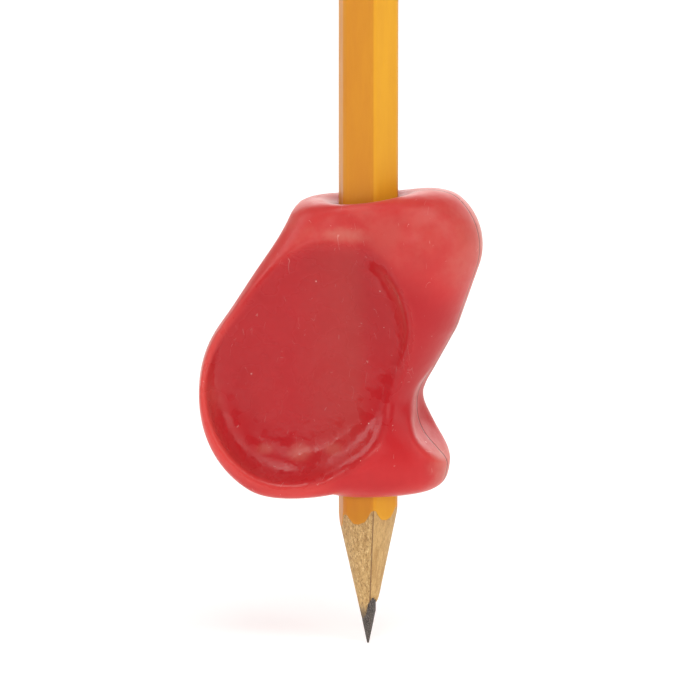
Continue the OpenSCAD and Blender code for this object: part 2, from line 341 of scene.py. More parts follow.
def makeGripPlastic():
    look = gripLook
    material, tree, shader, place = newMaterial("gripSoftRedPlastic")
    x, y, z = splitPlace(tree, place)
    colour = useGroup(tree, mottleGroup, "Color", {"Place": place, "Scale": 0.16,
                                                   "First": look["red"], "Second": look["deepRed"]})
    # painted shade deepens the colour in the dishes; the pencil showing warmly through their thin floor is
    # partly a painted reflection
    inDish = attribute(tree, "inDish")
    colour = mixColour(tree, times(tree, inDish, look["dishShadeShare"]), colour, look["dishShadeRed"])
    tintAndReflection = times(tree, attribute(tree, "pencilTintAndReflection"), look["pencilTintAndReflectionShare"])
    colour = mixColour(tree, tintAndReflection, colour, look["pencilTintAndReflection"])
    # painted sheen lies in patches on the upper part, outside the dishes
    patches = ramp(tree, noise(tree, place, 0.22, 4.0, 0.6), *look["sheenPatches"])
    paleSheen = times(tree, ramp(tree, z, *look["sheenRise"]), patches)
    paleSheen = times(tree, paleSheen, minus(tree, 1.0, inDish, clamp=True))
    colour = mixColour(tree, paleSheen, colour, look["paleSheen"])
    # painted shade: deeper red down the side of the ridge
    slant = plus(tree, z, times(tree, x, 0.8))
    side = times(tree, ramp(tree, x, *look["sideFront"]), ramp(tree, slant, *look["sideUnder"]))
    side = times(tree, side, ramp(tree, z, *look["sideAbove"]))
    colour = mixColour(tree, times(tree, side, look["sideShadeShare"]), colour, look["sideShadeRed"])
    # painted highlights and sheen with ragged edges
    folded = addNode(tree, "ShaderNodeCombineXYZ", {0: x, 1: mathNode(tree, "ABSOLUTE", y), 2: z}).outputs[0]
    ragged = times(tree, noise(tree, place, 0.7, 3.0, 0.6), 0.6)
    for spot, reach, share in look["rubbed"]:
        off = vectorNode(tree, "DIVIDE", vectorNode(tree, "SUBTRACT", folded, spot), reach)
        off = plus(tree, vectorNode(tree, "LENGTH", off), ragged)
        colour = mixColour(tree, ramp(tree, off, 0.5, 1.3, share, 0.0), colour, look["paleSheen"])
    # painted highlights pale the outward edges
    bend = attribute(tree, "bend")
    worn = times(tree, ramp(tree, bend, *look["edgeBend"]), ramp(tree, x, *look["edgeReach"]))
    worn = times(tree, worn, minus(tree, 1.0, times(tree, side, 0.75)))
    colour = mixColour(tree, worn, colour, look["edge"])
    # painted shade darkens the hollows
    hollow = times(tree, ramp(tree, bend, *look["hollowBend"]), ramp(tree, x, *look["hollowReach"]))
    colour = mixColour(tree, hollow, colour, look["hollow"])
    # painted light on the dishes' inner walls towards the ridge, in the edges' pale colour
    wall = times(tree, ramp(tree, bend, *look["wallBend"]), ramp(tree, x, *look["wallReach"]))
    colour = mixColour(tree, times(tree, wall, inDish), colour, look["edge"])
    # painted shade darkens the lip round the pencil
    lip = vectorNode(tree, "LENGTH", vectorNode(tree, "MULTIPLY", place, (1.0, 1.0, 0.0)))
    lip = times(tree, ramp(tree, lip, *look["lipReach"]), ramp(tree, z, *look["lipRise"]))
    colour = mixColour(tree, lip, colour, look["hollow"])
    # small tear at the hole's rim
    wander = times(tree, minus(tree, noise(tree, place, 0.8, 2.0), 0.5), 0.10)
    along = reachAlong(tree, x, y, look["tearTurn"])
    beside = plus(tree, reachAlong(tree, x, y, look["tearTurn"] + 90), times(tree, wander, 2.0))
    torn = times(tree, ramp(tree, mathNode(tree, "ABSOLUTE", beside), *look["tearWidth"]),
                 ramp(tree, along, *look["tearStart"]))
    torn = times(tree, torn, ramp(tree, along, *look["tearEnd"]))
    torn = times(tree, torn, ramp(tree, z, *look["tearRise"]))
    colour = mixColour(tree, times(tree, torn, look["tornShare"]), colour, look["seam"])
    # mould parting line down the ridge, the lobe and the foot
    off = mathNode(tree, "ABSOLUTE", plus(tree, y, wander))
    seam = times(tree, ramp(tree, off, *look["seamWidth"]), ramp(tree, x, *look["seamReach"]))
    colour = mixColour(tree, times(tree, seam, look["seamShare"]), colour, look["seam"])
    dust = useGroup(tree, dustGroup, "Mask", {"Place": place, "Spacing": 1.6, "Size": 0.09, "Share": 0.28})
    scratch = useGroup(tree, scratchGroup, "Mask", {"Place": place, "Scale": 0.9, "Width": 0.05})
    colour = mixColour(tree, times(tree, dust, look["dustShare"]), colour, look["dust"])
    colour = mixColour(tree, times(tree, scratch, look["scratchShare"]), colour, look["dust"])
    # glossier patches in the dishes, duller scratches
    rough = ramp(tree, noise(tree, place, 0.35, 4.0, 0.6), *look["gloss"])
    polish = ramp(tree, noise(tree, place, 0.34, 2.0, 0.5), *look["polish"])
    rough = minus(tree, rough, times(tree, inDish, polish))
    rough = plus(tree, rough, times(tree, scratch, 0.15))
    # slow waviness of the moulded skin, fine grain, a lean where a dish's floor meets its wall,
    # the seam's step and the scratches
    waves = noise(tree, place, 0.45, 2.0, 0.5)
    waveSize = plus(tree, 0.08, times(tree, inDish, 0.10))
    grain = noise(tree, place, 9.0, 2.0, 0.6)
    swell = ramp(tree, z, *look["swell"], "SMOOTHERSTEP")
    height = weighted(tree, (waves, waveSize), (grain, 0.006), (swell, 1.0), (seam, -0.06),
                      (scratch, -0.006))
    addBump(tree, shader, height, 0.8)
    fillInputs(shader, {
        "Base Color": colour, "Roughness": rough, "IOR": 1.49, "Specular IOR Level": 0.32,
        "Sheen Weight": 0.19, "Sheen Roughness": 0.45, "Sheen Tint": (1.0, 0.80, 0.62, 1),
        "Subsurface Weight": 0.12, "Subsurface Radius": (1.0, 0.16, 0.12), "Subsurface Scale": 0.0016,
    })
    return material


# the pencil's finishes

glueTurn = -60.0   # direction of the glue line on the camera's side, in degrees
rightFlat = -30.0  # direction of the right-hand flat, where the blade cut higher and painted light makes the lacquer paler


def makeLacquer():
    look = {"yellow": (0.78, 0.375, 0.020, 1), "shadedWarm": (0.62, 0.235, 0.018, 1),
            "speck": (0.16, 0.08, 0.03, 1), "litFlat": (3.24, 3.38)}  # reach towards the right-hand flat
    material, tree, shader, place = newMaterial("yellowLacquer")
    long = mapped(tree, place, (1.0, 1.0, 0.12))
    x, y, z = splitPlace(tree, place)
    # painted light: the right-hand flat is paler yellow, and painted shade leaves the other flats warmer
    litFlat = ramp(tree, reachAlong(tree, x, y, rightFlat), *look["litFlat"])
    clouds = useGroup(tree, mottleGroup, "Fac", {"Place": long, "Scale": 0.7})
    colour = mixColour(tree, weighted(tree, (clouds, 0.22), (litFlat, 0.78)), look["shadedWarm"], look["yellow"])
    specks = useGroup(tree, dustGroup, "Mask", {"Place": place, "Spacing": 6.0, "Size": 0.16, "Share": 0.30})
    scratch = useGroup(tree, scratchGroup, "Mask", {"Place": place, "Scale": 0.7, "Width": 0.05})
    colour = mixColour(tree, times(tree, specks, 0.8), colour, look["speck"])
    rough = ramp(tree, noise(tree, long, 1.2, 3.0), 0.3, 0.7, 0.34, 0.46)
    rough = plus(tree, rough, times(tree, scratch, 0.2))
    waves = noise(tree, mapped(tree, place, (1, 1, 0.35)), 1.6, 3.0)
    addBump(tree, shader, weighted(tree, (waves, 0.020), (scratch, -0.005)))
    fillInputs(shader, {"Base Color": colour, "Roughness": rough, "Specular IOR Level": 0.22})
    return material


def makeWood(name, shift, coarse):  # coarse is how strongly the torn fibres stand out
    look = {"pale": (0.650, 0.412, 0.160, 1), "dark": (0.505, 0.292, 0.098, 1),
            "vein": (0.250, 0.125, 0.040, 1), "fleck": (0.930, 0.720, 0.360, 1),
            "smear": (0.060, 0.050, 0.045, 1), "glue": (0.220, 0.110, 0.045, 1),
            "smearRise": (4.6, 6.4, 0.75, 0.0), "glueWidth": (0.03, 0.13, 0.75, 0.0)}
    material, tree, shader, place = newMaterial(name)
    moved = mapped(tree, place, shift=(shift, shift * 0.7, 0))
    fibre = mapped(tree, moved, (1.0, 1.0, 0.05))
    broad = noise(tree, fibre, 1.8, 4.0, 0.6, 0.4)
    fine = noise(tree, fibre, 9.0, 3.0, 0.7)
    torn = noise(tree, mapped(tree, moved, (1.0, 1.0, 0.36)), 5.0, 3.0, 0.8, 0.3)
    colour = mixColour(tree, ramp(tree, broad, 0.35, 0.68), look["pale"], look["dark"])
    colour = mixColour(tree, ramp(tree, fine, 0.56, 0.72, 0.0, 0.55), colour, look["vein"])
    colour = mixColour(tree, ramp(tree, torn, 0.55, 0.62, 0.0, 0.75 * coarse), colour, look["vein"])
    colour = mixColour(tree, ramp(tree, torn, 0.45, 0.38, 0.0, 0.65 * coarse), colour, look["fleck"])
    # graphite smeared up from the lead
    x, y, z = splitPlace(tree, place)
    low = plus(tree, z, times(tree, noise(tree, fibre, 3.0, 2.0), 1.5))
    colour = mixColour(tree, ramp(tree, low, *look["smearRise"]), colour, look["smear"])
    # the glue line between the slats
    off = mathNode(tree, "ABSOLUTE", reachAlong(tree, x, y, glueTurn + 90))
    line = ramp(tree, off, *look["glueWidth"])
    colour = mixColour(tree, line, colour, look["glue"])
    # the blade leaves fine rings and lifts the fibres a little
    rings = addNode(tree, "ShaderNodeTexWave",
                    {"Vector": place, "Scale": 1.1, "Distortion": 1.5, "Detail": 2.0},
                    bands_direction="Z").outputs["Fac"]
    height = weighted(tree, (fine, 0.05), (torn, -0.16 * coarse), (line, -0.05), (rings, 0.010),
                      (broad, 0.04))
    addBump(tree, shader, height)
    fillInputs(shader, {"Base Color": colour, "Roughness": ramp(tree, fine, 0.3, 0.7, 0.55, 0.75)})
    return material


def makeGraphite():
    look = {"dark": (0.036, 0.030, 0.027, 1), "worn": (0.120, 0.100, 0.088, 1),
            "glint": (0.260, 0.220, 0.190, 1), "pit": (0.018, 0.013, 0.011, 1)}
    material, tree, shader, place = newMaterial("graphite")
    streaks = noise(tree, mapped(tree, place, (1, 1, 0.15)), 6.0, 4.0, 0.65)
    grains = noise(tree, place, 9.0, 2.0, 0.6)
    colour = mixColour(tree, ramp(tree, streaks, 0.35, 0.70), look["dark"], look["worn"])
    colour = mixColour(tree, ramp(tree, grains, 0.50, 0.62, 0.0, 0.6), colour, look["glint"])
    colour = mixColour(tree, ramp(tree, grains, 0.46, 0.36, 0.0, 0.7), colour, look["pit"])
    addBump(tree, shader, weighted(tree, (grains, 0.05), (streaks, 0.05)))
    fillInputs(shader, {"Base Color": colour, "Roughness": ramp(tree, grains, 0.3, 0.7, 0.32, 0.55),
                        "Metallic": ramp(tree, streaks, 0.4, 0.7, 0.15, 0.55)})
    return material


def makeFerruleMetal():
    look = {"bright": (0.80, 0.79, 0.75, 1), "dull": (0.60, 0.58, 0.53, 1), "grime": (0.10, 0.09, 0.08, 1)}
    material, tree, shader, place = newMaterial("ferruleMetal")
    streaks = noise(tree, mapped(tree, place, (1, 1, 0.08)), 4.0, 4.0, 0.6)
    mottle = useGroup(tree, mottleGroup, "Color", {"Place": place, "Scale": 0.8,
                                                   "First": look["bright"], "Second": look["dull"]})
    scratch = useGroup(tree, scratchGroup, "Mask", {"Place": place, "Scale": 1.4, "Width": 0.08})
    cavity = attribute(tree, "hollow")
    colour = mixColour(tree, ramp(tree, cavity, 0.1, 0.9, 0.0, 0.7), mottle, look["grime"])
    rough = plus(tree, ramp(tree, streaks, 0.3, 0.7, 0.20, 0.36), times(tree, scratch, 0.2))
    rough = plus(tree, rough, times(tree, cavity, 0.25), clamp=True)
    addBump(tree, shader, weighted(tree, (streaks, 0.010), (scratch, -0.006)))
    fillInputs(shader, {"Base Color": colour, "Roughness": rough, "Metallic": 1.0})
    return material


def makeEraserRubber():
    look = {"pink": (0.70, 0.270, 0.240, 1), "pale": (0.78, 0.380, 0.340, 1),
            "smudge": (0.140, 0.100, 0.100, 1), "usedRise": (135.2, 137.4, 0.0, 0.75)}
    material, tree, shader, place = newMaterial("eraserRubber")
    mottle = useGroup(tree, mottleGroup, "Color", {"Place": place, "Scale": 0.8,
                                                   "First": look["pink"], "Second": look["pale"]})
    grains = noise(tree, place, 7.0, 4.0, 0.7)
    x, y, z = splitPlace(tree, place)
    high = plus(tree, z, times(tree, noise(tree, place, 0.9, 4.0, 0.65), 4.0))
    used = times(tree, ramp(tree, high, *look["usedRise"]), ramp(tree, grains, 0.30, 0.62))
    colour = mixColour(tree, used, mottle, look["smudge"])
    addBump(tree, shader, weighted(tree, (grains, 0.05), (noise(tree, place, 1.5, 3.0), 0.12)))
    fillInputs(shader, {"Base Color": colour, "Roughness": ramp(tree, grains, 0.3, 0.7, 0.70, 0.88),
                        "Subsurface Weight": 0.08, "Subsurface Scale": 0.0006})
    return material


gripPlastic = makeGripPlastic()
yellowLacquer = makeLacquer()
leftWood = makeWood("cedarLeft", 3.0, 1.0)
rightWood = makeWood("cedarRight", 11.0, 0.35)
graphite = makeGraphite()
ferruleMetal = makeFerruleMetal()
eraserRubber = makeEraserRubber()
print("finishes made")


# the grip: blended forms, turned into a fine mesh

gripShape = {
    "cell": 0.30,  # size of the mesh's squares
    "low": (-22.3, -14.85, 18.6),  # corners of the box that the mesh is made in
    "high": (15.9, 14.85, 60.3),
    "fit": (0.9997, 0.996, 1.0),  # keeps the finer mesh inside the box of the solids
    "dishTurn": 20.0,  # degrees between a dish and the pencil's side
    "dishLean": 16.0,
    "dishCentre": (-7.8, 38),  # along the dish's plane and up
    "dishReach": (12.6, 16.1),
    "dishFloor": 4.7,
    # each ball has its place, along and up, and its radius
    "padLowBall": ((-8, 34.6), 12.7),
    "padHighBall": ((-4, 53.4), 6.1),
    "padRound": ((-8.6, 32.6), 13.2),
    "padFace": 6.4,
    "padBack": -4,
    "coreRadius": 6.4,
    "lobeBall": ((6.9, 51.9), 7.8),
    "ridgeBall": ((4.6, 44.5), 7.5),
    "ridgeLowBall": ((0.3, 34.5), 6.4),
    "notchBall": ((12.5, 31.3), 6),
    "notchOuterBall": ((20, 23.8), 6),
    "footCentre": (3, 24.6),
    "footReach": (7.6, 7, 7.4),
    "channelHalf": 4.2,
    "channelFlare": 0.27,
    "channelFloor": -5.9,
    "top": 58.3,
    "topSlant": 0.11,
    "topDip": 0.48,  # how steeply the top sinks towards the hole
    "topDipReach": 6.5,
    "bottom": 20.0,
    "bottomSlant": 0.05,
    "boreRadius": 3.95,
}


def nearMin(a, b, blend):  # the lower of two fields, rounded over this many millimetres
    h = np.maximum(blend - np.abs(a - b), 0) / blend
    return np.minimum(a, b) - h * h * blend / 4


def nearMax(a, b, blend):
    return -nearMin(-a, -b, blend)


def softRamp(t):  # nought below zero, rising in step above it, with an eased corner
    return (t + np.sqrt(t * t + 4)) / 2


def taperDistance(px, py, side, firstBall, secondBall):  # two balls joined by a straight-sided taper
    (a, radiusA), (b, radiusB) = firstBall, secondBall
    span = math.hypot(b[0] - a[0], b[1] - a[1])
    ex, ey = (b[0] - a[0]) / span, (b[1] - a[1]) / span
    t = (px - a[0]) * ex + (py - a[1]) * ey
    r = np.sqrt((-(px - a[0]) * ey + (py - a[1]) * ex) ** 2 + side ** 2)
    s = (radiusA - radiusB) / span
    c = math.sqrt(1 - s * s)
    along = t * c - r * s
    first = np.hypot(t, r) - radiusA
    second = np.hypot(t - span, r) - radiusB
    return np.where(along < 0, first, np.where(along > span * c, second, t * s + r * c - radiusA))


def ovalDistance(x, y, z, rx, ry, rz):
    k0 = np.sqrt((x / rx) ** 2 + (y / ry) ** 2 + (z / rz) ** 2)
    k1 = np.sqrt((x / rx ** 2) ** 2 + (y / ry ** 2) ** 2 + (z / rz ** 2) ** 2)
    return k0 * (k0 - 1) / np.maximum(k1, 1e-6)


def padPlace(x, y):  # along and out from the plane of a dish
    turn = math.radians(gripShape["dishTurn"])
    fold = np.sqrt(y * y + 0.36)
    return x * math.cos(turn) - fold * math.sin(turn), x * math.sin(turn) + fold * math.cos(turn)


def dishField(x, y, z):  # negative in the hollow of a finger dish
    lean = math.radians(gripShape["dishLean"])
    u, w = padPlace(x, y)
    du, dz = u - gripShape["dishCentre"][0], z - gripShape["dishCentre"][1]
    across = du * math.cos(lean) - dz * math.sin(lean)
    up = du * math.sin(lean) + dz * math.cos(lean)
    high, out = softRamp(z - 36), softRamp(-u - 7)
    pan = gripShape["dishFloor"] + 0.004 * high * high + 0.016 * out * high - 0.11 * softRamp(-u - 3)
    reachAcross, reachUp = gripShape["dishReach"]
    return nearMax(ovalDistance(across, 0, up, reachAcross, 1, reachUp), pan - w, 5.5)


def padField(x, y, z):  # the two pads that carry the finger dishes
    u, w = padPlace(x, y)
    high = softRamp(z - 44)
    face = gripShape["padFace"] + 0.06 * (4 - u) - 0.012 * high * high
    face = face + 0.045 * softRamp(37 - z) - 0.35 * softRamp(u - 1.5)
    taper = taperDistance(u, z, 0, gripShape["padLowBall"], gripShape["padHighBall"])
    centre, radius = gripShape["padRound"]
    roundEnd = np.hypot(1.055 * (u - centre[0]), z - centre[1]) - radius
    pad = nearMin(nearMax(taper, w - face, 5.5), nearMax(roundEnd, w - face, 2.6), 1.5)
    return nearMax(pad, gripShape["padBack"] - w, 2.0)


def gripForm(x, y, z):  # negative inside the grip, as if it had no hole
    fromAxis = np.hypot(x, y)
    body = nearMin(padField(x, y, z), fromAxis - gripShape["coreRadius"], 1.6)
    # leaning ridge, and the foot below its notch
    ridge = np.minimum(taperDistance(x, z, y, gripShape["lobeBall"], gripShape["ridgeBall"]),
                       taperDistance(x, z, y, gripShape["ridgeBall"], gripShape["ridgeLowBall"]))
    body = nearMin(body, ridge, 1.2 + 0.15 * softRamp(z - 42))
    footX, footZ = gripShape["footCentre"]
    body = nearMin(body, ovalDistance(x - footX, y, z - footZ, *gripShape["footReach"]), 2.5)
    body = nearMax(body, -dishField(x, y, z), 1.0)
    # channel for the middle finger
    high = softRamp(z - 42)
    channelSide = np.abs(y) - gripShape["channelHalf"] + gripShape["channelFlare"] * (x + 6)
    channel = nearMax(channelSide, x - gripShape["channelFloor"] + 0.02 * high * high, 5.0)
    body = nearMax(body, -channel, 2.2)
    notchSide = 0.12 * y * softRamp(z - 24.5)
    notch = taperDistance(x, z, notchSide, gripShape["notchBall"], gripShape["notchOuterBall"])
    body = nearMax(body, -notch, 0.6)
    # the top dips towards the hole
    dip = gripShape["topDip"] * softRamp(gripShape["topDipReach"] - fromAxis)
    body = nearMax(body, z - gripShape["top"] - gripShape["topSlant"] * x + dip, 1.8)
    return nearMax(body, gripShape["bottom"] + gripShape["bottomSlant"] * x - z, 2.0)


def gripField(x, y, z):
    return nearMax(gripForm(x, y, z), gripShape["boreRadius"] - np.hypot(x, y), 0.35)


def ontoSurface(field, points, cell):  # move each point on to the surface
    step = 0.01
    for _ in range(3):
        value = field(*points.T)
        slope = np.stack([(field(*(points + d).T) - field(*(points - d).T)) / (2 * step)
                          for d in np.eye(3) * step], 1)
        move = value[:, None] * slope / np.maximum((slope ** 2).sum(1), 0.3)[:, None]
        points = points - np.clip(move, -cell, cell)
    return points


def fieldMesh(field, low, high, cell):  # one point in every box that the surface crosses
    counts = [int(math.ceil((b - a) / cell)) for a, b in zip(low, high)]
    axes = [a + cell * np.arange(n + 1) for a, n in zip(low, counts)]
    values = field(*np.meshgrid(*axes, indexing="ij"))
    inside = values < 0
    corners = np.array([(i, j, k) for i in (0, 1) for j in (0, 1) for k in (0, 1)])
    total = np.zeros(counts, int)
    for i, j, k in corners:
        total += inside[i:counts[0] + i, j:counts[1] + j, k:counts[2] + k]
    crossed = (total > 0) & (total < 8)
    number = -np.ones(counts, int)
    number[crossed] = np.arange(crossed.sum())
    boxes = np.argwhere(crossed)
    at = values[tuple((boxes[:, None, :] + corners[None]).transpose(2, 0, 1))]
    sums, hits = np.zeros((len(boxes), 3)), np.zeros(len(boxes))
    for a in range(8):
        for b in range(a + 1, 8):
            if np.abs(corners[a] - corners[b]).sum() == 1:
                va, vb = at[:, a], at[:, b]
                cut = (va < 0) != (vb < 0)
                t = np.where(cut, va / np.where(cut, va - vb, 1), 0)
                sums += cut[:, None] * (corners[a] + t[:, None] * (corners[b] - corners[a]))
                hits += cut
    points = ontoSurface(field, np.array(low) + cell * (boxes + sums / hits[:, None]), cell)
    # a quad round every grid line that the surface crosses
    quads = []
    for d in range(3):
        index = np.argwhere(np.diff(inside, axis=d))
        others = [n for n in range(3) if n != d]
        index = index[(index[:, others] > 0).all(1) & (index[:, others] < np.array(counts)[others]).all(1)]
        e1, e2 = np.zeros(3, int), np.zeros(3, int)
        e1[(d + 1) % 3] = 1
        e2[(d + 2) % 3] = 1
        quad = np.stack([number[tuple((index - m).T)] for m in (e1 + e2, e2, 0 * e1, e1)], 1)
        starts = inside[tuple(index.T)]
        quad[~starts] = quad[~starts][:, ::-1]
        quads.append(quad)
    return points, np.concatenate(quads)


def surfaceBend(x, y, z, reach=1.0):  # above zero on outward edges, below zero in hollows
    total = -6 * gripForm(x, y, z)
    for dx, dy, dz in np.eye(3) * reach:
        total = total + gripForm(x + dx, y + dy, z + dz) + gripForm(x - dx, y - dy, z - dz)
    return total / reach ** 2


points, quads = fieldMesh(gripField, gripShape["low"], gripShape["high"], gripShape["cell"])
points *= gripShape["fit"]
grip = makeObject("softGrip", points, quads, gripPlastic)
# how far a point lies in a dish, and how thin the wall over the pencil is there, where the pencil's tint and
# a painted reflection lie
inDish = np.clip(1.2 - np.abs(dishField(*points.T)) / 0.9, 0, 1)
pencilTintAndReflection = inDish * np.clip((10.5 - np.hypot(points[:, 0], points[:, 1])) / 5.5, 0, 1)
bend = surfaceBend(*points.T)
for label, values in (("inDish", inDish), ("pencilTintAndReflection", pencilTintAndReflection), ("bend", bend)):
    grip.data.attributes.new(label, "FLOAT", "POINT").data.foreach_set("value", values)
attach(grip, "grip")
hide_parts("grip")
print("grip made,", len(points), "points")


# the pencil

pencil = {
    "length": 135.0,
    "halfFlats": 3.5,  # from the axis to a flat of the lacquered barrel
    "cornerReach": 3.85,  # from the axis to a softened corner
    "lacquer": 0.06,  # as thin as it shows where the blade cut through it
    "leadRadius": 1.0,
    "pointAngle": 11.8,
    "wornRadius": 0.12,
    "ferruleLength": 14.0,
    "ferruleRadius": 3.75,
    "ferruleWall": 0.30,
    "eraserShown": 8.0,
    "plugRadius": 3.4,  # inside the ferrule
    "eraserRadius": 3.2,  # rubbed thinner where it stands out
    "eraserEdge": 0.9,  # radius of its upper edge
    "offCentre": 0.84,  # how much higher the blade cut on the right-hand flat than beside it
    "cutShift": -0.34,  # how far all the scallops are lowered
    "flatBottom": 0.22,  # how far their low places are levelled
    "splinters": ((5, 0.30), (11, 0.20), (23, 0.14), (47, 0.09)),  # number round the wood, and size
    "splinterReach": 0.3,  # over which the chipped end thins down to the lead
    "clear": 0.004,  # between sides that touch
    "endClear": 0.02,  # between ends that touch
}
shoulder = pencil["length"] - pencil["eraserShown"] - pencil["ferruleLength"]
eraserBase = pencil["length"] - 2 * pencil["eraserShown"]
slope = math.tan(math.radians(pencil["pointAngle"]))


def softMax(a, b, sharpness):
    return np.logaddexp(a * sharpness, b * sharpness) / sharpness


def barrelReach(angle, coat=0.0):  # distance from the axis to a hexagon with its corners eased
    turn = (angle + math.pi / 6) % (math.pi / 3) - math.pi / 6  # from the nearest corner
    onFlat = (pencil["halfFlats"] - coat) / np.cos(np.pi / 6 - np.abs(turn))
    return -softMax(-onFlat, -(pencil["cornerReach"] - coat), 60)


def scallopHeight(angle, reach):  # where the blade's cone leaves the barrel
    lift = pencil["offCentre"] * np.cos(angle - math.radians(rightFlat)) + pencil["cutShift"]
    ragged = 0.03 * np.sin(17 * angle + 1) + 0.02 * np.sin(29 * angle)
    height = (reach - pencil["wornRadius"]) / slope
    return softMax(height, height.min() + pencil["flatBottom"], 9) + lift + ragged


def coneReach(z):
    return pencil["wornRadius"] + z * slope


def makeLacquerCoat():
    around = 240
    angle = fullTurn(around)
    outer, inner = barrelReach(angle), barrelReach(angle, pencil["lacquer"])
    lowOuter, lowInner = scallopHeight(angle, outer), scallopHeight(angle, inner)
    rows = [(inner, shoulder), (inner, lowInner), ((inner + outer) / 2, (lowInner + lowOuter) / 2),
            (outer, lowOuter), (outer, lowOuter + 0.15)]
    rows += [(outer, lowOuter + (shoulder - lowOuter) * t) for t in np.linspace(0.02, 1, 40)]
    return makeTube("lacquerCoat", rows, around, yellowLacquer)


def splinters(angle, seed):  # uneven broken fibres at the end of the wood
    chance = np.random.default_rng(seed)
    total = np.zeros_like(angle)
    for count, size in pencil["splinters"]:
        phase = chance.uniform(0, 2 * math.pi)
        total += size * np.abs(np.sin(count * angle / 2 + phase))
    return total


def makeSlat(name, turn, lowEnd, material, seed):
    around = 121
    angle = math.radians(turn) + np.linspace(0, math.pi, around)
    lead, clear, end = pencil["leadRadius"], pencil["clear"], pencil["endClear"]
    skin = barrelReach(angle, pencil["lacquer"]) - clear
    low = lowEnd(angle - math.radians(turn)) + splinters(angle, seed)
    scallop = scallopHeight(angle, skin)
    tenon = pencil["ferruleRadius"] - pencil["ferruleWall"] - 0.01
    # the blade's cone reaches the skin at the scallop, and the chipped end thins down to the lead
    cone = (scallop - low) / ((skin - pencil["wornRadius"]) / slope - low)
    excess = np.maximum(coneReach(low) - lead - 0.04, 0)
    rows = []
    for t in np.linspace(0, 1, 60) ** 1.6:
        up = (scallop - low) * t
        chipped = excess * np.exp(-up / pencil["splinterReach"])
        rows.append((coneReach(low + up / cone) - chipped, low + up))
    rows += [(skin, scallop + 0.01), (skin, shoulder - end), (tenon, shoulder - end),
             (tenon, eraserBase - end)]
    # the groove for the lead
    rows += [(lead + clear, eraserBase - end), (lead + clear, 6.5),
             (np.minimum(lead + clear, coneReach(low) - 0.03), low)]
    faces = gridFaces(len(rows), around, False)
    last = (len(rows) - 1) * around
    faces += [(last + c, last + c + 1, c + 1, c) for c in range(around - 1)]
    first = [r * around for r in range(len(rows))]
    faces.append(first)
    faces.append([n + around - 1 for n in reversed(first)])
    piece = makeObject(name, ringPoints(rows, angle), faces, material)
    piece.data.polygons[-1].use_smooth = False
    piece.data.polygons[-2].use_smooth = False
    return piece


def makeLead():
    worn, radius = pencil["wornRadius"], pencil["leadRadius"]
    tip, top = (radius - worn) / slope, eraserBase - pencil["endClear"]
    rows = [(worn * 0.75, 0.0), (worn, 0.03)]
    for z in tip * np.linspace(0.02, 1, 30):
        inset = pencil["endClear"] if z > 3.0 else 0.0  # clear of the wood's thin ends
        rows.append((coneReach(z) - inset, z))
    rows += [(radius, tip + 0.15), (radius, top)]
    return makeRod("graphiteLead", rows, 0.0, top, 64, graphite)


coat = makeLacquerCoat()
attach(coat, "pencil")
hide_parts("lacquer")

# on the left slat the wood runs lowest on the side away from the glue line
leftSlat = makeSlat("leftSlat", glueTurn + 180, lambda a: 3.1 + 1.9 * np.exp(-((math.pi - a) / 0.35) ** 2)
                    + 0.8 * np.exp(-(a / 0.5) ** 2), leftWood, 5)
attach(leftSlat, "pencil")
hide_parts("case_left_half")
rightSlat = makeSlat("rightSlat", glueTurn, lambda a: 5.4 + 0.25 * np.cos(2 * a), rightWood, 9)
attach(rightSlat, "pencil")
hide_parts("case_right_half")
leadCore = makeLead()
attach(leadCore, "pencil")
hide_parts("lead")
print("pencil made")


# ferrule: a plain tube, then rings and dents raised by a geometry tree

ferruleShape = {
    "ringLow": 0.36, "ringHigh": 0.64,  # the raised rings lie between these shares of the length
    "rings": 4,
    "ringHeight": 0.085,
    "dentRows": (0.2, 0.8),  # as shares of the length
    "dentsPerRow": 8,
    "dentDepth": 0.14,
    "dentSize": 0.55,
    "lip": 0.06,
    "edge": 0.01,
}


def plainFerrule():
    around, rows = ((256, 150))
    length, outer = pencil["ferruleLength"], pencil["ferruleRadius"]
    inner = outer - pencil["ferruleWall"]
    middle, lip, edge = inner + pencil["ferruleWall"] / 2, ferruleShape["lip"], ferruleShape["edge"]
    profile = [(inner, z) for z in np.linspace(length - lip, lip, 12)]
    profile += [(inner + 0.04, edge), (middle, 0.0), (outer - 0.05, edge)]
    profile += [(outer, z) for z in np.linspace(lip, length - lip, rows)]
    profile += [(outer - 0.05, length - edge), (middle, length), (inner + 0.04, length - edge)]
    return makeTube("crimpedFerrule", [(r, shoulder + z) for r, z in profile], around, ferruleMetal)


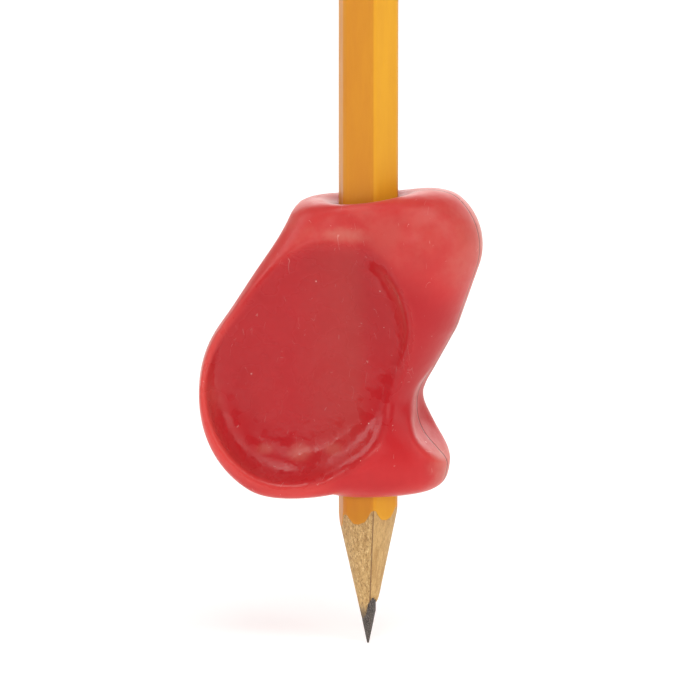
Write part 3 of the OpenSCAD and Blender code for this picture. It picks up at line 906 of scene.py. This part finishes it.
def ferruleTree():
    tree = bpy.data.node_groups.new("ferruleRingsAndDents", "GeometryNodeTree")
    face = tree.interface
    face.new_socket(name="Geometry", in_out="INPUT", socket_type="NodeSocketGeometry")
    for label in ("Base", "Length", "Outer Radius", "Ring Low", "Ring High", "Rings", "Ring Height",
                  "Dents", "Dent Depth", "Dent Size"):
        face.new_socket(name=label, in_out="INPUT", socket_type="NodeSocketFloat")
    face.new_socket(name="Material", in_out="INPUT", socket_type="NodeSocketMaterial")
    face.new_socket(name="Geometry", in_out="OUTPUT", socket_type="NodeSocketGeometry")
    given, made = addNode(tree, "NodeGroupInput").outputs, addNode(tree, "NodeGroupOutput")
    x, y, z = splitPlace(tree, addNode(tree, "GeometryNodeInputPosition").outputs[0])
    reach = mathNode(tree, "SQRT", weighted(tree, (x, x), (y, y)))
    height = minus(tree, z, given["Base"])
    share = mathNode(tree, "DIVIDE", height, given["Length"])
    outside = mathNode(tree, "GREATER_THAN", reach, times(tree, given["Outer Radius"], 0.985))
    # raised rings
    span = minus(tree, given["Ring High"], given["Ring Low"])
    part = mathNode(tree, "DIVIDE", minus(tree, share, given["Ring Low"]), span)
    inBand = times(tree, mathNode(tree, "GREATER_THAN", part, 0.0), mathNode(tree, "LESS_THAN", part, 1.0))
    wave = mathNode(tree, "SINE", times(tree, times(tree, part, given["Rings"]), math.pi))
    ring = times(tree, mathNode(tree, "POWER", mathNode(tree, "ABSOLUTE", wave), 0.7), inBand)
    lift = times(tree, ring, given["Ring Height"])
    # punched dents in two rows
    turn = mathNode(tree, "ARCTAN2", y, x)
    step = mathNode(tree, "DIVIDE", 2 * math.pi, given["Dents"])
    nearest = times(tree, step, mathNode(tree, "ROUND", mathNode(tree, "DIVIDE", turn, step)))
    side = times(tree, minus(tree, turn, nearest), given["Outer Radius"])
    dents = None
    for row in ferruleShape["dentRows"]:
        rise = minus(tree, height, times(tree, given["Length"], row))
        away = mathNode(tree, "SQRT", weighted(tree, (side, side), (rise, rise)))
        near = minus(tree, 1.0, mathNode(tree, "DIVIDE", away, given["Dent Size"]), clamp=True)
        near = mathNode(tree, "SMOOTH_MIN", near, 1.0)
        dents = near if dents is None else plus(tree, dents, near)
    dents = times(tree, dents, dents)
    move = times(tree, minus(tree, lift, times(tree, dents, given["Dent Depth"])), outside)
    push = mathNode(tree, "DIVIDE", move, reach)
    change = addNode(tree, "ShaderNodeCombineXYZ", {0: times(tree, x, push), 1: times(tree, y, push)})
    # hollows are marked for the metal's finish
    hollow = plus(tree, dents, times(tree, inBand, minus(tree, 1.0, ring)), clamp=True)
    stored = addNode(tree, "GeometryNodeStoreNamedAttribute",
                     {"Geometry": given["Geometry"], "Name": "hollow", "Value": hollow},
                     data_type="FLOAT", domain="POINT")
    moved = addNode(tree, "GeometryNodeSetPosition",
                    {"Geometry": stored.outputs[0], "Offset": change.outputs[0]})
    real = addNode(tree, "GeometryNodeRealizeInstances", {0: moved.outputs[0]})
    finish = addNode(tree, "GeometryNodeSetMaterial",
                     {"Geometry": real.outputs[0], "Material": given["Material"]})
    tree.links.new(finish.outputs[0], made.inputs[0])
    return tree


def applyTree(piece, tree, values):
    modifier = piece.modifiers.new("shape", "NODES")
    modifier.node_group = tree
    names = {s.name: s.identifier for s in tree.interface.items_tree if s.in_out == "INPUT"}
    for name, value in values.items():
        modifier[names[name]] = value
    bpy.context.view_layer.update()
    ready = piece.evaluated_get(bpy.context.evaluated_depsgraph_get())
    mesh = bpy.data.meshes.new_from_object(ready)
    piece.modifiers.remove(modifier)
    piece.data = mesh
    return piece


ferrule = applyTree(plainFerrule(), ferruleTree(), {
    "Base": shoulder * mm, "Length": pencil["ferruleLength"] * mm,
    "Outer Radius": pencil["ferruleRadius"] * mm,
    "Ring Low": ferruleShape["ringLow"], "Ring High": ferruleShape["ringHigh"],
    "Rings": float(ferruleShape["rings"]),
    "Ring Height": ferruleShape["ringHeight"] * mm, "Dents": float(ferruleShape["dentsPerRow"]),
    "Dent Depth": ferruleShape["dentDepth"] * mm, "Dent Size": ferruleShape["dentSize"] * mm,
    "Material": ferruleMetal,
})
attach(ferrule, "pencil")
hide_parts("ferrule")
print("ferrule made")


# eraser

def makeEraser():
    around = 96
    angle = fullTurn(around)
    plug, radius, edge = pencil["plugRadius"], pencil["eraserRadius"], pencil["eraserEdge"]
    top, mouth = pencil["length"], shoulder + pencil["ferruleLength"]
    profile = [(plug * t, eraserBase) for t in (0.5, 0.98)]
    profile += [(plug, eraserBase + 0.05), (plug, mouth - 0.20)]
    profile += [(plug - 0.05, mouth - 0.06), (radius + 0.02, mouth - 0.02)]
    profile += [(radius, z) for z in np.linspace(mouth + 0.1, top - edge, 30)]
    profile += [(radius - edge + edge * math.cos(t), top - edge + edge * math.sin(t))
                for t in np.linspace(0.1, math.pi / 2, 12)]
    profile += [(radius - edge - s, top) for s in (0.5, 1.2, 1.9)]
    worn = 1 - 0.010 * (np.sin(3 * angle + 1) + 0.6 * np.sin(5 * angle)) ** 2
    rows = [(r * worn if z > mouth else r, z) for r, z in profile]
    return makeRod("pinkEraser", rows, eraserBase, top, around, eraserRubber)


eraser = makeEraser()
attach(eraser, "pencil")
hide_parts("eraser")
print("eraser made")


# camera, floor and light

shot = {
    "azimuth": 20.0,
    "elevation": 11.0,
    "distance": 0.60,
    "pixelsPerMm": 7.85,
    "frame": 700,
    "axisAt": 368.0,  # column of the pencil's axis in the photograph
    "tipAt": 642.5,  # row of the writing point
    "sensor": 36.0,
    "clip": (0.05, 20.0),
}
studio = {  # in metres
    "side": 3.0,
    "bend": 0.5,
    "back": 1.6,
    "height": 2.6,
    "floorGlow": 0.18,
    "world": 0.25,
    "aim": (0, 0, 0.045),
}


def directionFrom(azimuth, elevation):  # from the object towards a camera or a light
    a, e = math.radians(azimuth), math.radians(elevation)
    return Vector((math.sin(a) * math.cos(e), -math.cos(a) * math.cos(e), math.sin(e)))


def placeLooking(name, data, place, back):  # an object whose own -Z looks the other way from back
    thing = bpy.data.objects.new(name, data)
    thing.rotation_mode = "QUATERNION"
    thing.location = place
    thing.rotation_quaternion = (-back).to_track_quat("-Z", "Y")
    bpy.context.scene.collection.objects.link(thing)
    return thing


def makeCamera():
    a = math.radians(shot["azimuth"])
    right = Vector((math.cos(a), math.sin(a), 0))
    back = directionFrom(shot["azimuth"], shot["elevation"])
    up = back.cross(right)
    half = shot["frame"] / 2
    target = (right * (half - shot["axisAt"]) + up * (shot["tipAt"] - half)) / shot["pixelsPerMm"] * mm
    data = bpy.data.cameras.new("camera")
    data.sensor_width = shot["sensor"]
    data.lens = shot["pixelsPerMm"] / mm * shot["distance"] * data.sensor_width / shot["frame"]
    data.clip_start, data.clip_end = shot["clip"]
    bpy.context.scene.camera = placeLooking("camera", data, target + back * shot["distance"], back)


def makeFloor():
    side, bend, back = studio["side"], studio["bend"], studio["back"]
    profile = [(-side, 0.0), (back - bend, 0.0)]
    profile += [(back - bend + bend * math.sin(t), bend - bend * math.cos(t))
                for t in np.linspace(0.1, math.pi / 2, 12)]
    profile.append((back, studio["height"]))
    points = [(x, y, z) for y, z in profile for x in (-side, side)]
    faces = [(2 * n, 2 * n + 1, 2 * n + 3, 2 * n + 2) for n in range(len(profile) - 1)]
    material, tree, shader, place = newMaterial("paleFloor")
    paper = mixColour(tree, noise(tree, place, 0.02, 3.0), (0.95, 0.95, 0.95, 1), (0.97, 0.97, 0.97, 1))
    fillInputs(shader, {"Base Color": paper, "Roughness": 0.9, "Emission Color": (1, 1, 1, 1),
                        "Emission Strength": studio["floorGlow"]})
    makeObject("paleFloor", np.array(points) / mm, faces, material)


def makeLight(name, azimuth, elevation, distance, size, power, colour=(1, 1, 1)):
    data = bpy.data.lights.new(name, "AREA")
    data.shape = "RECTANGLE"
    data.size, data.size_y = size
    data.energy = power
    data.color = colour
    back = directionFrom(azimuth, elevation)
    placeLooking(name, data, Vector(studio["aim"]) + back * distance, back)


def makeWorld():
    world = bpy.data.worlds.new("studio")
    world.use_nodes = True
    fillInputs(world.node_tree.nodes["Background"], {"Color": (1, 1, 1, 1), "Strength": studio["world"]})
    bpy.context.scene.world = world


makeCamera()
makeFloor()
makeWorld()
makeLight("topSoftbox", 35, 64, 0.9, (0.6, 0.4), 2.9, (1.0, 0.97, 0.92))
makeLight("frontSoftbox", 4, 20, 1.1, (0.6, 0.11), 2.0, (1.0, 0.97, 0.92))
makeLight("rightSoftbox", 75, 25, 0.9, (0.5, 0.8), 2.2, (1.0, 0.96, 0.90))
makeLight("leftSoftbox", -60, 35, 1.0, (0.5, 0.7), 3.0)
makeLight("backSoftbox", 190, 24, 1.3, (2.2, 0.9), 10.0)
bpy.context.scene.view_settings.view_transform = "Standard"
print("stage made")
